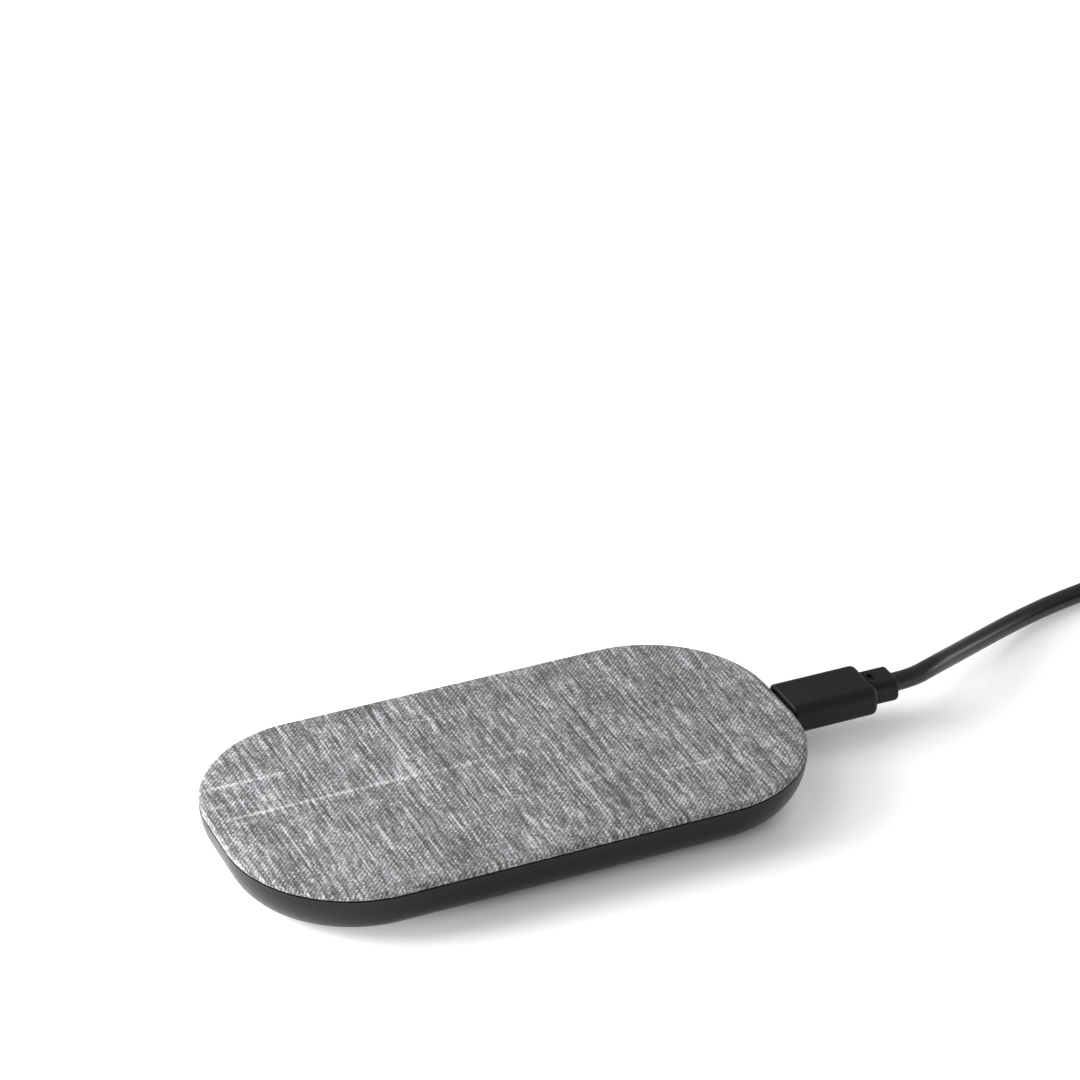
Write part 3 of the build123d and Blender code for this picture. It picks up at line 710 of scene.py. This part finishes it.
steel_mat = brushed_metal("connector_steel", (0.56, 0.55, 0.54), 0.28)
screw_mat = brushed_metal("screw_zinc", (0.46, 0.46, 0.47), 0.36, (900.0, 900.0, 900.0))
gold_mat = brushed_metal("contact_gold", (0.83, 0.61, 0.26), 0.24)
lead_mat = brushed_metal("lead_enamel", (0.50, 0.17, 0.08), 0.34, (300.0, 1800.0, 1800.0))


def litz_material():
    t = Tree("coil_litz_copper")
    p = t.place()
    x, y, _ = t.split(p)
    r = t.math("SQRT", t.math("ADD", t.math("MULTIPLY", x, x), t.math("MULTIPLY", y, y)))
    a = t.math("ARCTAN2", y, x)
    # strands twist across each turn of the winding
    twist = t.math("SINE", t.math("ADD", t.math("MULTIPLY", a, 96.0), t.math("MULTIPLY", r, 2 * math.pi / 0.00058)))
    rough = t.noise(p, 900.0, 3.0, 0.6)
    gap = t.math("ABSOLUTE", t.math("SUBTRACT", t.math("FRACT", t.math("DIVIDE", t.math("SUBTRACT", r, 0.01025), 0.001175)), 0.5))
    shade = t.remap(gap, 0.36, 0.5)
    base = t.mix(t.remap(t.math("ADD", twist, t.math("MULTIPLY", rough, 1.4)), -0.4, 1.6), (0.36, 0.13, 0.055), (0.74, 0.36, 0.18))
    t.set(Base_Color=t.mix(t.math("MULTIPLY", shade, 0.8), base, (0.10, 0.035, 0.02)))
    t.set(Metallic=1.0, Roughness=t.remap(rough, 0.3, 0.7, 0.28, 0.42))
    t.bump(t.math("SUBTRACT", t.math("MULTIPLY", twist, 0.5), shade), 0.00006)
    return t


def board_material():
    t = Tree("board_green_mask")
    p = t.place()
    x, y, _ = t.split(p)
    base = t.mix(t.remap(t.noise(p, 300.0, 3.0), 0.35, 0.65), (0.008, 0.075, 0.032), (0.014, 0.12, 0.052))
    # tracks and pours under the mask, on a 0.8 mm grid
    gx, gy = t.math("FLOOR", t.math("DIVIDE", x, 0.0008)), t.math("FLOOR", t.math("DIVIDE", y, 0.0008))
    cell = t.white(t.join(gx, gy, 1.0))
    lx = t.math("ABSOLUTE", t.math("SUBTRACT", t.math("FRACT", t.math("DIVIDE", x, 0.0008)), 0.5))
    ly = t.math("ABSOLUTE", t.math("SUBTRACT", t.math("FRACT", t.math("DIVIDE", y, 0.0008)), 0.5))
    along = t.math("LESS_THAN", t.math("ADD", t.math("MULTIPLY", lx, t.math("GREATER_THAN", cell, 0.5)),
                                       t.math("MULTIPLY", ly, t.math("LESS_THAN", cell, 0.5))), 0.14)
    via = t.math("MULTIPLY", t.math("LESS_THAN", t.math("ADD", t.math("MULTIPLY", lx, lx), t.math("MULTIPLY", ly, ly)), 0.05),
                 t.math("GREATER_THAN", cell, 0.86))
    col = t.mix(t.math("MULTIPLY", along, 0.7), base, (0.03, 0.22, 0.09))
    col = t.mix(via, col, (0.55, 0.40, 0.16))
    t.set(Base_Color=col, Roughness=t.remap(cell, 0.0, 1.0, 0.24, 0.34))
    t.bump(t.math("ADD", along, via), 0.00003)
    return t


for node, tree in (
        ("bottom_shell", shell_mat), ("top_plate", inner_mat), ("rubber_feet", rubber_mat), ("case_screws", screw_mat),
        ("coil_adhesive", glue_mat), ("transmitter_coil", litz_material()), ("ferrite_shield", ferrite_mat),
        ("support_foam", foam_mat), ("thermistor", glue_mat), ("circuit_board", board_material()), ("board_screws", screw_mat),
        ("usb_port_shell", steel_mat), ("usb_port_tongue", tongue_mat), ("usb_port_contacts", gold_mat),
        ("controller_chip", epoxy_mat), ("bridge_transistors", epoxy_mat), ("resonance_capacitors", ceramic_mat),
        ("filter_inductor", epoxy_mat), ("chip_passives", ceramic_mat), ("status_led", lens_mat), ("led_light_guide", lens_mat),
        ("coil_leads", lead_mat), ("plug_shell", steel_mat), ("plug_insert", tongue_mat), ("plug_contacts", gold_mat),
        ("plug_overmold", plug_mat), ("plug_collar", plug_mat), ("usb_a_overmold", plug_mat), ("usb_a_collar", plug_mat),
        ("usb_a_shell", steel_mat), ("usb_a_tongue", white_mat), ("usb_a_contacts", gold_mat)):
    give(node, tree)

curve.materials.append(cord_material().mat)
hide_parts("cable_lead", "cable_coil", "cable_tail")
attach(cord, "cable")

# ---------------------------------------------------------------- stage and light
floor_mesh = bpy.data.meshes.new("floor")
floor_mesh.from_pydata([(-6, -6, 0), (6, -6, 0), (6, 6, 0), (-6, 6, 0)], [], [(0, 1, 2, 3)])
floor = bpy.data.objects.new("floor", floor_mesh)
scene.collection.objects.link(floor)
ft = Tree("floor_white")
ft.set(Base_Color=(0.9, 0.9, 0.9), Roughness=0.9, Specular_IOR_Level=0.1)
ft.bsdf.inputs["Emission Color"].default_value = (1.0, 1.0, 1.0, 1.0)
# painted light: the floor glows with a little light of its own, more towards its far parts and away from the pad
fx, fy, _ = ft.split(ft.place())
far = ft.math("SQRT", ft.math("ADD", ft.math("MULTIPLY", fx, fx), ft.math("MULTIPLY", fy, fy)))
ex = ft.math("MAXIMUM", ft.math("SUBTRACT", ft.math("ABSOLUTE", fx), 0.029), 0.0)
ey = ft.math("MAXIMUM", ft.math("SUBTRACT", ft.math("ABSOLUTE", fy), 0.005), 0.0)
off = ft.math("SQRT", ft.math("ADD", ft.math("MULTIPLY", ex, ex), ft.math("MULTIPLY", ey, ey)))
painted_glow = ft.math("ADD", ft.remap(far, 0.07, 0.24, 0.0, 0.22, smooth=True),
               ft.remap(off, 0.018, 0.036, 0.13, 0.28, smooth=True))
# painted shadow and light: almost no glow in the gap under the shell's front, a painted contact shadow; a painted glow
# on the left of the pad and near the port end, lifting the shadows there
gap = ft.math("MULTIPLY", ft.remap(off, 0.0165, 0.0225, 0.13, 0.0, smooth=True),
              ft.remap(fx, -0.036, -0.010, 0.0, 1.0, smooth=True))
painted_left_glow = ft.math("ADD", ft.remap(fx, -0.046, -0.010, 0.25, 0.0, smooth=True),
               ft.remap(fx, -0.080, -0.050, 0.9, 0.0, smooth=True))
port = ft.math("MULTIPLY", ft.remap(off, 0.018, 0.028, 0.22, 0.0, smooth=True),
               ft.remap(fx, 0.036, 0.047, 0.0, 1.0, smooth=True))
sides = ft.math("ADD", painted_left_glow, port)
# the floor's glow: painted light added, painted contact shadow taken away
ft.set(Emission_Strength=ft.math("MAXIMUM", ft.math("SUBTRACT", ft.math("ADD", painted_glow, sides), gap), 0.0))
floor_mesh.materials.append(ft.mat)

world = bpy.data.worlds.new("studio")
scene.world = world
world.use_nodes = True
wn = world.node_tree
wn.nodes.clear()
w_out = wn.nodes.new("ShaderNodeOutputWorld")
w_bg = wn.nodes.new("ShaderNodeBackground")
wn.links.new(w_bg.outputs[0], w_out.inputs["Surface"])
w_bg.inputs["Color"].default_value = (1, 1, 1, 1)
w_bg.inputs["Strength"].default_value = 0.38


def aim(obj, towards):
    obj.rotation_mode = "QUATERNION"
    obj.rotation_quaternion = (-Vector(towards)).normalized().to_track_quat("Z", "Y")


sun_data = bpy.data.lights.new("overhead", "SUN")
sun_data.energy = 0.85
sun_data.angle = math.radians(50)
sun = bpy.data.objects.new("overhead", sun_data)
scene.collection.objects.link(sun)
aim(sun, (0.35, -0.45, -0.80))

# a softbox close by on the left
box_data = bpy.data.lights.new("left_softbox", "AREA")
box_data.shape = "RECTANGLE"
box_data.size = 0.22
box_data.size_y = 0.16
box_data.energy = 1.45
softbox = bpy.data.objects.new("left_softbox", box_data)
scene.collection.objects.link(softbox)
softbox.location = (-0.235, 0.12, 0.125)
aim(softbox, (0.235, -0.12, -0.115))

# low panels that only graze the top: one off the left front, one to the right, along the cord
for name, where, at_point, size, power in (
        ("left_front_panel", (-0.30, -0.15, 0.07), (0.0, 0.0, 0.005), (0.20, 0.12), 0.45),
        ("right_strip", (0.58, -0.06, 0.05), (0.10, 0.02, 0.01), (0.50, 0.10), 0.85)):
    panel_data = bpy.data.lights.new(name, "AREA")
    panel_data.shape = "RECTANGLE"
    panel_data.size, panel_data.size_y = size
    panel_data.energy = power
    panel = bpy.data.objects.new(name, panel_data)
    scene.collection.objects.link(panel)
    panel.location = where
    aim(panel, Vector(at_point) - Vector(where))

scene.view_settings.view_transform = "Standard"
scene.view_settings.look = "None"
scene.view_settings.exposure = 0.0
scene.view_settings.gamma = 1.0
